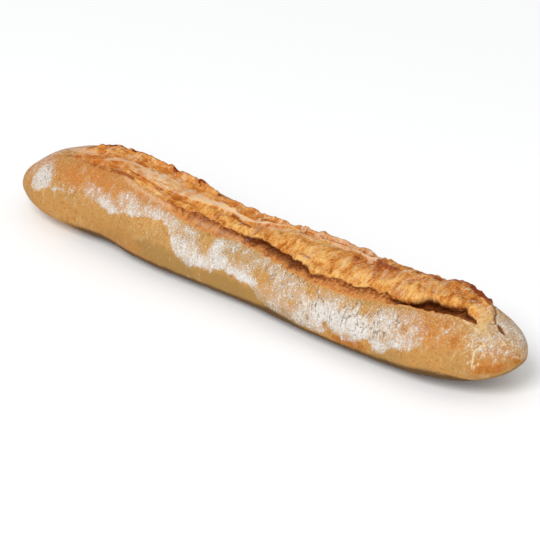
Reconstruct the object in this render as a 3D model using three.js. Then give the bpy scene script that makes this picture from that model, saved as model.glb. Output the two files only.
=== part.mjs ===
// A rustic baguette: one closed solid with three overlapping slashes that opened in the oven.
//
// Millimetres, +Z up. X runs along the loaf, -Y is the floured front, and the flat bottom rests at z = 0.
// A place on the crust is given by x and by an angle in degrees round the section:
// 0 is the top, negative angles go down the front, positive angles go down the back, 180 is the bottom.
import * as THREE from 'three';

// Overall shape. Each table gives [x, value] and is read through a smooth curve.
const LENGTH = 450;
const HALF = LENGTH / 2;
const HALF_WIDTH = [[-225, 40.5], [-150, 39], [-90, 39.3], [0, 36.5], [90, 40.7], [150, 38.6], [225, 36.3]];
const HEIGHT = [[-225, 57.5], [-150, 61], [-90, 55.6], [-20, 50.5], [90, 51.6], [150, 54.5], [225, 52.5]];
const CENTRE_LINE = [[-225, -4], [-150, 6.4], [-75, 2.5], [0, 1.5], [75, -0.5], [150, -2], [225, -4]];
const WAIST = 0.42;          // height of the widest place, as a share of the height
const SIDE_ROUND = 0.92;     // section exponents: sideways, upwards and downwards
const TOP_ROUND = 0.95;
const BOTTOM_ROUND = 0.6;
const BOTTOM_TRIM = 0.5;     // slice taken off below, which leaves the flat that the loaf rests on

// The two ends. power sets how blunt an end is, tip how high its point sits, lift its rise off the floor.
const LEFT_END = { reach: 100, power: 2.2, tip: 0.35, lift: 0 };
const RIGHT_END = { reach: 82, power: 2.1, tip: 0.43, lift: 8 };
const LIFT_STARTS = 120;

// The opened crust lies between the front lip and the burnt ear at the back.
const LIP_ANGLE = [
  [-186, -20], [-145, -25], [-108, -20], [-45, -36], [0, -31], [38, -39], [84, -41],
  [112, -37], [140, -31], [158, -29], [175, -22], [186, -19], [202, -22],
];
const EAR_ANGLE = [
  [-186, -8], [-172, 10], [-160, 21], [-125, 26], [0, 29], [100, 30], [168, 36], [190, 29], [202, 6],
];
const BAND_WIDTH = [
  [-186, 2], [-140, 3], [-90, 3], [-60, 14], [-45, 19], [-28, 14], [-13, 12], [6, 19], [26, 18],
  [50, 13], [97, 16], [116, 14], [140, 10], [148, 17], [154, 21], [165, 17], [171, 14], [176, 20],
  [181, 17], [187, 11], [193, 4], [200, 2],
];
const OPENING = { start: -188, end: 201, fadeIn: 40, fadeOut: 5 };
const END_LEAN = 0.4;        // mm that the slash ends sooner at the right, for each degree away from the top

// The floured skin stands up a little at its torn edge.
const LIP_RISE = [[-186, 0], [-90, 0.1], [-50, 0.8], [0, 0.9], [202, 0.7]];
const GROOVE_DEPTH = [
  [-186, 0.2], [-80, 0.2], [-50, 0.3], [-26, 1], [-8, 2.4], [8, 3.4], [28, 1.8], [38, 1.8],
  [60, 0.8], [100, 0.8], [118, 2], [138, 7.5], [166, 8], [182, 5.5], [192, 2], [199, 0.4],
];
const OVERHANG = [
  [-186, 0], [-50, 0], [-14, 0.6], [8, 1], [34, 0], [95, 0],
  [118, 0.4], [140, 4.6], [166, 5], [182, 1.5], [194, 0],
];
const EDGE_WIDTHS = [4.5, 2];      // degrees the crumb's edge takes where shallow, and where deep
const BULGE = [[-186, -0.4], [-115, -1.2], [-45, 0.6], [35, 2.2], [120, 2.4], [180, 2.2], [202, 0.8]];

// Two strips of pale skin between one slash and the next, each with a hollow behind it.
const STRIP_FOOT = [
  [-186, -12], [-125, -10], [-70, -5], [-45, 0], [-12, 2], [10, 20],
  [35, 24], [57, 22], [72, 16], [84, 11], [100, 10], [202, 6],
];
const STRIP_WIDTH = [
  [-186, 5], [-130, 13], [-105, 16], [-72, 13], [-58, 9],
  [-45, 8], [-28, 4.5], [-10, 3.2], [80, 4.5], [202, 3],
];
const STRIPS = [
  { start: -142, end: 22, fadeIn: 30, fadeOut: 14, rise: 1.2, hollow: 3.6 },
  { start: 26, end: 96, fadeIn: 14, fadeOut: 8, rise: 1.5, hollow: 2.4 },
];
const PLAIN_HOLLOW = 0.8;
const ROOMY = 30;            // degrees from lip to ear; where there are fewer, the corners draw closer

// The ear is one jagged ridge, highest on each slash.
const EAR_RISE = 1.2;
const EAR_HUMPS = [
  { x: -158, spread: 16, rise: 1.2 },
  { x: -118, spread: 24, rise: 1.2 },
  { x: 36, spread: 42, rise: 5.4 },
  { x: 164, spread: 22, rise: 3.6 },
];

// Uneven surface: [size along the loaf, size round the section in degrees, height]
const SKIN_DENTS = { along: 42, around: 34, height: 0.8 };
const CRUMB_LUMPS = { along: 11, around: 9, height: 1.1, slant: 0.5 };
const EAR_TEETH = { along: 6, height: 1.4 };

const SECTIONS = 110;
const END_CROWDING = 0.8;    // how strongly the sections crowd towards the two ends
const CRUST = { color: 0xc98a4b, roughness: 0.75, metalness: 0 };

const radians = (degrees) => degrees * Math.PI / 180;
const clamp = (value, low, high) => Math.min(Math.max(value, low), high);
const ease = (value) => {
  const t = clamp(value, 0, 1);
  return t * t * (3 - 2 * t);
};
const mix = (a, b, t) => a + (b - a) * t;

// Smooth curve through a table of [x, value], flat beyond its ends.
function along(table, x) {
  const last = table.length - 1;
  const grade = (i) => (table[i + 1][1] - table[i][1]) / (table[i + 1][0] - table[i][0]);
  const slope = (i) => {
    if (i === 0) return grade(0);
    if (i === last) return grade(last - 1);
    const before = table[i][0] - table[i - 1][0];
    const after = table[i + 1][0] - table[i][0];
    return (grade(i - 1) * after + grade(i) * before) / (before + after);
  };
  const place = clamp(x, table[0][0], table[last][0]);
  let i = 0;
  while (i < last - 1 && place > table[i + 1][0]) i += 1;
  const gap = table[i + 1][0] - table[i][0];
  const t = (place - table[i][0]) / gap;
  const t2 = t * t;
  const t3 = t2 * t;
  return (2 * t3 - 3 * t2 + 1) * table[i][1] + (t3 - 2 * t2 + t) * gap * slope(i)
    + (3 * t2 - 2 * t3) * table[i + 1][1] + (t3 - t2) * gap * slope(i + 1);
}

// Value noise from -1 to 1, the same at every run.
function scatter(i, j) {
  const wave = Math.sin(i * 127.1 + j * 311.7) * 43758.5453;
  return 2 * (wave - Math.floor(wave)) - 1;
}

function noise(u, v) {
  const i = Math.floor(u);
  const j = Math.floor(v);
  const s = ease(u - i);
  const t = ease(v - j);
  return mix(mix(scatter(i, j), scatter(i + 1, j), s), mix(scatter(i, j + 1), scatter(i + 1, j + 1), s), t);
}

// 1 inside start..end, easing to 0 over the fade at each end.
const window = (x, { start, end, fadeIn, fadeOut }) => ease((x - start) / fadeIn) * ease((end - x) / fadeOut);

// How far the slash is open at a place: it ends sooner at the right, the farther the place is from the top.
function openedShare(x, angle) {
  const lean = x > 0 ? END_LEAN * Math.min(Math.abs(angle), 60) : 0;
  return window(x + lean, OPENING);
}

// Share of the full section that is left at x, from 1 in the middle to 0 at a tip.
function roundOff(x) {
  const end = x < 0 ? LEFT_END : RIGHT_END;
  const inset = clamp((HALF - Math.abs(x)) / end.reach, 0, 1);
  return Math.pow(1 - Math.pow(1 - inset, end.power), 1 / end.power);
}

// A point of the plain loaf, before the slashes.
function loafPoint(x, angle) {
  const side = Math.sin(radians(angle));
  const rise = Math.cos(radians(angle));
  const end = x < 0 ? LEFT_END : RIGHT_END;
  const share = roundOff(x);
  const fullHeight = along(HEIGHT, x);
  const height = fullHeight * share;
  const waist = WAIST * height;
  const lifted = clamp((Math.abs(x) - LIFT_STARTS) / (HALF - LIFT_STARTS), 0, 1);
  const floor = (1 - share) * end.tip * fullHeight + end.lift * lifted * lifted;
  const y = along(HALF_WIDTH, x) * share * Math.sign(side) * Math.pow(Math.abs(side), SIDE_ROUND);
  const z = rise > 0
    ? waist + (height - waist) * Math.pow(rise, TOP_ROUND)
    : waist - waist * Math.pow(-rise, BOTTOM_ROUND);
  return { y: y + along(CENTRE_LINE, x), z: z + floor };
}

// The same point moved outwards by height, square to the section.
function crustPoint(x, angle, height) {
  const step = 1;
  const here = loafPoint(x, angle);
  const before = loafPoint(x, angle - step);
  const after = loafPoint(x, angle + step);
  const dy = after.y - before.y;
  const dz = after.z - before.z;
  const size = Math.hypot(dy, dz) || 1;
  return new THREE.Vector3(x, here.y - height * dz / size, here.z + height * dy / size);
}

function earRise(x) {
  let rise = EAR_RISE;
  for (const hump of EAR_HUMPS) {
    rise += hump.rise * Math.exp(-(((x - hump.x) / hump.spread) ** 2));
  }
  return rise;
}

// Corners of the section at x, from the bottom up the front, over the slashes and down the back.
// Each corner is [angle, height, steps to the next corner].
function sectionCorners(x) {
  const open = window(x, OPENING);
  const lip = along(LIP_ANGLE, x) + 1.2 * open * noise(x / 10, 11);
  const groove = lip + along(BAND_WIDTH, x) + 1.6 * open * noise(x / 13, 5);
  const ear = along(EAR_ANGLE, x);
  const depth = along(GROOVE_DEPTH, x) * open;
  const overhang = along(OVERHANG, x) * open;

  // Outer shape of the opened crumb, and the strip and hollow that stand out from it.
  const unit = clamp((ear - lip) / ROOMY, 0.1, 1);
  const bulge = along(BULGE, x) * open;
  const edgeWidth = mix(EDGE_WIDTHS[0], EDGE_WIDTHS[1], clamp(depth / 4, 0, 1)) * unit;
  const dome = (angle) => bulge * Math.sin(Math.PI * clamp((angle - groove) / (ear - groove), 0.15, 0.85));
  const foot = clamp(along(STRIP_FOOT, x), groove + 6 * unit, ear - 7 * unit);
  const top = clamp(foot + along(STRIP_WIDTH, x), foot + unit, ear - 6 * unit);
  let stripRise = 0;
  let hollow = PLAIN_HOLLOW * open;
  for (const strip of STRIPS) {
    const share = window(x, strip);
    stripRise += strip.rise * share;
    hollow += (strip.hollow - PLAIN_HOLLOW) * share * open;
  }
  const crest = (earRise(x) + EAR_TEETH.height * noise(x / EAR_TEETH.along, 3)) * open;
  const middle = mix(groove + edgeWidth, foot - unit, 0.5);
  const behind = mix(top, ear, 0.5);

  const corners = [
    [-180, 0, 13],
    [lip - 5, 0, 1],
    [lip, along(LIP_RISE, x) * open, 1],
    [lip + unit, -0.25 * depth, 2],
    [groove + overhang, -depth, 1],
    [groove + 0.5 * unit, -0.4 * depth, 1],
    [groove + edgeWidth, 0.5 * dome(groove), 2],
    [middle, dome(middle), 3],
    [foot - unit, dome(foot) - 0.5 * stripRise, 1],
    [foot, dome(foot) + stripRise, 2],
    [top, dome(top) + stripRise, 1],
    [top + 2 * unit, dome(top) - hollow, 2],
    [behind, dome(behind) - 0.6 * hollow + 0.3 * crest, 2],
    [ear - 3 * unit, dome(ear) - 0.8 * hollow + 0.6 * crest, 1],
    [ear, crest, 1],
    [ear + 3, 0.6 * crest, 2],
    [ear + 12, 0, 14],
    [180, 0, 0],
  ];
  const leaned = (angle, height) => height * openedShare(x, angle) / Math.max(open, 0.01);
  return corners.map(([angle, height, steps]) => [angle, leaned(angle, height), steps]);
}

// Bumps on top of the corners: slow dents in the skin, slanting lumps in the opened crumb.
function relief(x, angle, lip, ear) {
  const dents = SKIN_DENTS.height * noise(x / SKIN_DENTS.along, angle / SKIN_DENTS.around)
    * Math.cos(radians(angle / 2));
  const crumb = ease((angle - lip - 6) / 6) * ease((ear + 2 - angle) / 4);
  const slanted = x + CRUMB_LUMPS.slant * angle;
  const lumps = CRUMB_LUMPS.height * noise(slanted / CRUMB_LUMPS.along, angle / CRUMB_LUMPS.around);
  return dents + lumps * crumb * window(x, OPENING);
}

function sectionPoints(x) {
  const corners = sectionCorners(x);
  const lip = along(LIP_ANGLE, x);
  const ear = along(EAR_ANGLE, x);
  const points = [];
  for (let k = 0; k < corners.length - 1; k += 1) {
    const [angle, height, steps] = corners[k];
    const [nextAngle, nextHeight] = corners[k + 1];
    for (let step = 0; step < steps; step += 1) {
      const at = mix(angle, nextAngle, step / steps);
      const out = mix(height, nextHeight, step / steps) + relief(x, at, lip, ear);
      const point = crustPoint(x, at, out * Math.sqrt(roundOff(x)));
      point.z = Math.max(point.z - BOTTOM_TRIM, 0);
      points.push(point);
    }
  }
  return points;
}

function stationX(i) {
  const u = 2 * i / SECTIONS - 1;
  return HALF * mix(u, Math.sin(Math.PI * u / 2), END_CROWDING);
}

function tip(x) {
  const point = loafPoint(x, 0);
  return new THREE.Vector3(x, point.y, point.z - BOTTOM_TRIM);
}

// Skin of triangles over the rings of section points, closed by a fan at each tip.
function loafGeometry() {
  const rings = [];
  for (let i = 1; i < SECTIONS; i += 1) {
    rings.push(sectionPoints(stationX(i)));
  }
  const ringSize = rings[0].length;
  const vertices = [tip(-HALF), ...rings.flat(), tip(HALF)];
  const vertexOf = (ring, k) => 1 + ring * ringSize + (k % ringSize);
  const lastVertex = vertices.length - 1;
  const lastRing = rings.length - 1;
  const triangles = [];
  for (let k = 0; k < ringSize; k += 1) {
    triangles.push(0, vertexOf(0, k), vertexOf(0, k + 1));
    triangles.push(lastVertex, vertexOf(lastRing, k + 1), vertexOf(lastRing, k));
    for (let ring = 0; ring < lastRing; ring += 1) {
      const a = vertexOf(ring, k);
      const b = vertexOf(ring, k + 1);
      const c = vertexOf(ring + 1, k + 1);
      const d = vertexOf(ring + 1, k);
      triangles.push(a, c, b, a, d, c);
    }
  }
  const geometry = new THREE.BufferGeometry().setFromPoints(vertices);
  geometry.setIndex(triangles);
  return geometry;
}

// Sets the middle of the bounding box over the origin and its underside on z = 0.
function rest(geometry) {
  geometry.computeBoundingBox();
  const { min, max } = geometry.boundingBox;
  geometry.translate(-(min.x + max.x) / 2, -(min.y + max.y) / 2, -min.z);
  geometry.computeVertexNormals();
  return geometry;
}

const loaf = new THREE.Mesh(rest(loafGeometry()), new THREE.MeshStandardMaterial(CRUST));
loaf.name = 'loaf';

const baguette = new THREE.Group();
baguette.add(loaf);

export default baguette;
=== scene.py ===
"""A rustic baguette on a pale studio floor.

The crust is one closed mesh: rings of points along the loaf, shaped by the same named dimensions as the
solid, then roughened with finer relief. Masks on its vertices tell the material where the flour, the torn
crumb, the hollows and the burnt ear are.
"""
import math

import bpy
import numpy as np
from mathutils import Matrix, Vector


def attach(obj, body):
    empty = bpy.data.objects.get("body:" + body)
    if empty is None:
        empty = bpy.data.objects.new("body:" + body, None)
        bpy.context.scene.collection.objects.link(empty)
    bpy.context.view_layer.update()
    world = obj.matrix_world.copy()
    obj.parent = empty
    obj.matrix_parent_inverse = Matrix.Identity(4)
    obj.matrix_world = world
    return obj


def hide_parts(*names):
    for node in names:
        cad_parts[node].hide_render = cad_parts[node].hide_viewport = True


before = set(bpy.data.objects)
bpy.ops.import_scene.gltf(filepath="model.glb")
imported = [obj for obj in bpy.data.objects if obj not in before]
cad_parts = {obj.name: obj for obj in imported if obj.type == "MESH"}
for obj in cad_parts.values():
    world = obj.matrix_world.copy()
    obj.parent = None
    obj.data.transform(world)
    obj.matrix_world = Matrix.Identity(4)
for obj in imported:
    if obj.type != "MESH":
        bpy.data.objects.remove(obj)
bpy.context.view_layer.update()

MM = 0.001

# ---------------- shape of the loaf, in millimetres
# A place on the crust is x along the loaf and an angle in degrees round the section:
# 0 is the top, negative angles go down the floured front, positive ones down the back, 180 is the bottom.
LENGTH = 450.0
HALF = LENGTH / 2
HALF_WIDTH = [(-225, 40.5), (-150, 39), (-90, 39.3), (0, 36.5), (90, 40.7), (150, 38.6), (225, 36.3)]
HEIGHT = [(-225, 57.5), (-150, 61), (-90, 55.6), (-20, 50.5), (90, 51.6), (150, 54.5), (225, 52.5)]
CENTRE_LINE = [(-225, -4), (-150, 6.4), (-75, 2.5), (0, 1.5), (75, -0.5), (150, -2), (225, -4)]
WAIST = 0.42          # height of the widest place, as a share of the height
SIDE_ROUND = 0.92     # section exponents: sideways, upwards and downwards
TOP_ROUND = 0.95
BOTTOM_ROUND = 0.6
BOTTOM_TRIM = 0.5     # slice taken off below, which leaves the flat that the loaf rests on

LEFT_END = dict(reach=100, power=2.2, tip=0.35, lift=0)
RIGHT_END = dict(reach=82, power=2.1, tip=0.43, lift=8)
LIFT_STARTS = 120

LIP_ANGLE = [
    (-186, -20), (-145, -25), (-108, -20), (-45, -36), (0, -31), (38, -39), (84, -41),
    (112, -37), (140, -31), (158, -29), (175, -22), (186, -19), (202, -22),
]
EAR_ANGLE = [
    (-186, -8), (-172, 10), (-160, 21), (-125, 26), (0, 29), (100, 30), (168, 36), (190, 29), (202, 6),
]
BAND_WIDTH = [
    (-186, 2), (-140, 3), (-90, 3), (-60, 14), (-45, 19), (-28, 14), (-13, 12), (6, 19), (26, 18),
    (50, 13), (97, 16), (116, 14), (140, 10), (148, 17), (154, 21), (165, 17), (171, 14), (176, 20),
    (181, 17), (187, 11), (193, 4), (200, 2),
]
OPENING = dict(start=-188, end=201, fade_in=40, fade_out=5)
END_LEAN = 0.4

LIP_RISE = [(-186, 0), (-90, 0.1), (-50, 0.8), (0, 0.9), (202, 0.7)]
GROOVE_DEPTH = [
    (-186, 0.2), (-80, 0.2), (-50, 0.3), (-26, 1), (-8, 2.4), (8, 3.4), (28, 1.8), (38, 1.8),
    (60, 0.8), (100, 0.8), (118, 2), (138, 7.5), (166, 8), (182, 5.5), (192, 2), (199, 0.4),
]
OVERHANG = [
    (-186, 0), (-50, 0), (-14, 0.6), (8, 1), (34, 0), (95, 0),
    (118, 0.4), (140, 4.6), (166, 5), (182, 1.5), (194, 0),
]
EDGE_WIDTH = dict(shallow=4.5, deep=2, deep_from=4)      # degrees of the crumb's edge, by the groove's depth
BULGE = [(-186, -0.4), (-115, -1.2), (-45, 0.6), (35, 2.2), (120, 2.4), (180, 2.2), (202, 0.8)]

STRIP_FOOT = [
    (-186, -12), (-125, -10), (-70, -5), (-45, 0), (-12, 2), (10, 20),
    (35, 24), (57, 22), (72, 16), (84, 11), (100, 10), (202, 6),
]
STRIP_WIDTH = [
    (-186, 5), (-130, 13), (-105, 16), (-72, 13), (-58, 9), (-45, 8), (-28, 4.5), (-10, 3.2), (80, 4.5),
    (202, 3),
]
STRIPS = [
    dict(start=-142, end=22, fade_in=30, fade_out=14, rise=1.2, hollow=3.6),
    dict(start=26, end=96, fade_in=14, fade_out=8, rise=1.5, hollow=2.4),
]
PLAIN_HOLLOW = 0.8
STRIP_CLEAR = 6           # degrees kept between a strip and the groove or the ear
DOME_SPAN = (0.15, 0.85)  # the bulge stays level outside these shares of the way from groove to ear
ROOMY = 30                # degrees from lip to ear; where there are fewer, the corners move closer together
TIGHTEST = 0.1            # the least share of their spacing that the corners keep

EAR_RISE = 1.2
EAR_HUMPS = [(-158, 16, 1.2), (-118, 24, 1.2), (36, 42, 5.4), (164, 22, 3.6)]      # (x, spread, rise)

# Uneven faces. A shift tells one noise from the next.
SKIN_DENTS = dict(along=42, around=34, height=0.8, shift=0)
CRUMB_LUMPS = dict(along=11, around=9, height=1.1, shift=0, slant=0.5)
LUMP_SPAN = dict(above_lip=6, fade_in=6, past_ear=2, fade_out=4)      # degrees
# Uneven lines, as sums of noises along the loaf: (mm along, size, row, which tells one noise from the next).
# Sizes are degrees, but mm for ear_height, places for cavity, and shares for ear_nubs and flour_back.
SWAYS = dict(
    lip=[(10, 1.2, 11), (2.6, 1.4, 21)],
    groove=[(10, 1.2, 11), (13, 1.6, 5), (5.2, 2.6, 22), (2.2, 1.3, 26)],
    strip_foot=[(4.3, 1.6, 23)],
    strip_width=[(4.3, 0.96, 24)],
    ear=[(4.3, 1.6, 25)],
    ear_height=[(6, 1.4, 3), (2.3, 0.5, 4)],
    ear_nubs=[(4.2, 0.9, 8)],
    cavity=[(4.5, 0.2, 33)],
    flour_edge=[(4, 2, 61), (11, 5, 62)],
    flour_back=[(30, 0.4, 71)],
)

# Finer relief than the solid carries.
EAR_NUBS = dict(start=-181, end=-70, fade_in=5, fade_out=20, level=0.4, height=1.2)
# Short stretches where the ear stands higher or lower than its run: (x, spread, rise).
EAR_TRIMS = [
    (-153, 6, -2), (-138, 12, -3.2), (-79, 8, 3), (-29, 6, 2), (-16, 6, -1.8), (10, 7, -2.6),
    (119, 6, -2), (141, 6, -2),
]
TIP_PINCH = dict(start=-200, reach=16, depth=2.6)
# Where the crust turns under a little sooner: (x, angle, reach along, reach round, depth).
BELLY_TRIMS = [(-208, -112, 14, 26, 1.3), (-128, -112, 16, 22, 2)]
CRUMB_SLANT = 0.15        # mm along the loaf for each degree up the section, as the torn fibres lean
TORN_LUMPS = dict(along=8.5, around=8, height=1.2, shift=31)
TORN_FIBRES = dict(along=3.4, around=10, height=0.6, shift=47)
LONG_FIBRES = dict(along=10, around=17 / 7, shift=53)
TORN_GRAIN = dict(along=1.6, around=2.4, height=0.12, shift=63)
TORN_WARP = dict(size=9, push=2.6, shift_along=5, shift_round=19)
# Weights of the torn crumb's colour: its own tint, with painted highlight on the lumps and painted shade in
# the creases.
TORN_TINT_AND_SHADING = dict(level=0.32, lumps=0.25, fibres=0.4, grain=0.08)
STRIP_CALM = 0.65         # share of the torn relief that a strip is without
SKIN_RIPPLES = dict(along=8, around=7, height=0.25, shift=13)
SKIN_GRAIN = dict(along=2.4, around=2.4, height=0.09, shift=17)
RIPPLES_END = dict(angle=150, fade=20)      # no ripples on the flat that the loaf rests on
MM_PER_DEGREE = 0.75      # round the section, near enough for the size of the relief

LIP_BLUSH = [(-90, 8), (-45, 5), (0, 3), (100, 3), (135, 2.5), (202, 2)]      # browned degrees below the lip
# The slit where the last slash ends at the right, the rim of skin past it, and the degrees that they take up.
SLIT = dict(past=-0.4, reach=1, depth=1.7, wander=1.3, around=6, row=91, shade=0.75)
RIM = dict(past=2, reach=1, height=0.9, floured=0.7)
SLIT_SPAN = dict(start=-10, end=44, fade_in=8, fade_out=8)
# Creases in the torn crumb: path of (x, angle) places, half width, depth.
CREASES = [
    ([(77, 9), (89, 8), (97, 6)], 2.4, 1.5),
    ([(98, 3), (102, -8)], 1.6, 0.7),
    ([(27, 22), (35, 25)], 1.8, 1.5),
    ([(30, 4), (42, 0)], 0.9, 0.7),
]
# Small holes, in the same way.
PITS = [
    ([(204, 1), (209, -4)], 2.1, 2.3),
    ([(170, 5), (171, 6)], 0.9, 1.2),
]
# Fine cracks with a raised pale edge below the end of the last slash.
SEAMS = dict(
    paths=[
        [(208, -43), (203, -48), (201, -62), (201, -75), (198, -83)],
        [(201, -75), (202, -90), (206, -80)],
        [(183, -21), (191, -24), (197, -26)],
    ],
    width=0.6, height=0.3, crack=0.5, shade=0.4, wander=0.8, along=2.3, around=3.1,
)

COLUMNS = 690
END_CROWDING = 0.8
# Rows of points from one corner of the section to the next, up the front and down the back.
ROWS = [52, 3, 2, 7, 3, 2, 10, 9, 2, 8, 2, 7, 5, 4, 3, 5, 20]
ROW_CROWDING = 1.6        # how strongly the first and last rows crowd towards the slashes

HASH_TURNS = (127.1, 311.7)
HASH_SIZE = 43758.5453
LAYER_TURN = (0.8, 0.6)   # cosine and sine of the turn from one layer of noise to the next
LAYER_SHRINK = 2.1
LAYER_SHIFT = 17


def ease(value):
    t = np.clip(value, 0, 1)
    return t * t * (3 - 2 * t)


def mix(a, b, t):
    return a + (b - a) * t


def bell(away):
    return np.exp(-(away ** 2))


def bells(x, table):
    """Sum of bell curves along the loaf: (x, reach, height)."""
    return sum(height * bell((x - centre) / reach) for centre, reach, height in table)


def cubic(a, b, slope_a, slope_b, t):
    """Curve from a to b with these slopes at its ends."""
    t2, t3 = t * t, t * t * t
    start = (2 * t3 - 3 * t2 + 1) * a + (t3 - 2 * t2 + t) * slope_a
    return start + (3 * t2 - 2 * t3) * b + (t3 - t2) * slope_b


def along(table, x):
    """Smooth curve through a table of (x, value), flat beyond its ends."""
    knots, value = np.array(table, dtype=float).T
    gap = np.diff(knots)
    grade = np.diff(value) / gap
    inner = (grade[:-1] * gap[1:] + grade[1:] * gap[:-1]) / (gap[:-1] + gap[1:])
    slope = np.concatenate([grade[:1], inner, grade[-1:]])
    place = np.clip(x, knots[0], knots[-1])
    i = np.clip(np.searchsorted(knots, place, side="right") - 1, 0, len(gap) - 1)
    t = (place - knots[i]) / gap[i]
    return cubic(value[i], value[i + 1], gap[i] * slope[i], gap[i] * slope[i + 1], t)


def scatter(i, j):
    """A number from -1 to 1 that looks random, by the usual sine hash."""
    wave = np.sin(i * HASH_TURNS[0] + j * HASH_TURNS[1]) * HASH_SIZE
    return 2 * (wave - np.floor(wave)) - 1


def noise(u, v):
    """Value noise from -1 to 1, the same at every run."""
    u, v = np.broadcast_arrays(np.asarray(u, dtype=float), np.asarray(v, dtype=float))
    i, j = np.floor(u), np.floor(v)
    s, t = ease(u - i), ease(v - j)
    low = mix(scatter(i, j), scatter(i + 1, j), s)
    high = mix(scatter(i, j + 1), scatter(i + 1, j + 1), s)
    return mix(low, high, t)


def layered(u, v, shift, layers=2):
    """Layers of value noise, each turned and finer than the last, from about -1 to 1."""
    total, weight, size = 0, 0, 1.0
    cosine, sine = LAYER_TURN
    for layer in range(layers):
        turned_u = cosine * u - sine * v
        turned_v = sine * u + cosine * v
        total = total + size * noise(turned_u + shift + LAYER_SHIFT * layer, turned_v - shift)
        weight += size
        size *= 0.5
        u, v = LAYER_SHRINK * turned_u, LAYER_SHRINK * turned_v
    return total / weight


def sway(x, name):
    return sum(size * noise(x / run, row) for run, size, row in SWAYS[name])


def patch_noise(x, angle, setting):
    shift = setting["shift"]
    return setting["height"] * noise(x / setting["along"] + shift, angle / setting["around"] - shift)


def window(x, stretch):
    """1 inside the stretch, easing to 0 over the fade at each of its ends."""
    started = ease((x - stretch["start"]) / stretch["fade_in"])
    return started * ease((stretch["end"] - x) / stretch["fade_out"])


def changing(x, name):
    left, right, start, over = CHANGES[name]
    return mix(left, right, ease((x - start) / over))


def by_end(x, name):
    return np.where(x < 0, LEFT_END[name], RIGHT_END[name])


def round_off(x):
    """Share of the full section that is left at x, from 1 in the middle to 0 at a tip."""
    inset = np.clip((HALF - np.abs(x)) / by_end(x, "reach"), 0, 1)
    power = by_end(x, "power")
    return (1 - (1 - inset) ** power) ** (1 / power)


def loaf_point(x, angle):
    """y and z of the plain loaf, before the slashes."""
    side = np.sin(np.radians(angle))
    rise = np.cos(np.radians(angle))
    share = round_off(x)
    full_height = along(HEIGHT, x)
    height = full_height * share
    waist = WAIST * height
    lifted = np.clip((np.abs(x) - LIFT_STARTS) / (HALF - LIFT_STARTS), 0, 1)
    floor = (1 - share) * by_end(x, "tip") * full_height + by_end(x, "lift") * lifted * lifted
    y = along(HALF_WIDTH, x) * share * np.sign(side) * np.abs(side) ** SIDE_ROUND
    above = waist + (height - waist) * np.maximum(rise, 0) ** TOP_ROUND
    below = waist - waist * np.maximum(-rise, 0) ** BOTTOM_ROUND
    return y + along(CENTRE_LINE, x), np.where(rise > 0, above, below) + floor


def crust_point(x, angle, height):
    """y and z of the plain loaf moved outwards by height, square to the section."""
    y, z = loaf_point(x, angle)
    y_before, z_before = loaf_point(x, angle - 1)
    y_after, z_after = loaf_point(x, angle + 1)
    dy, dz = y_after - y_before, z_after - z_before
    size = np.maximum(np.hypot(dy, dz), 1e-9)
    return y - height * dz / size, z + height * dy / size


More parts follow.
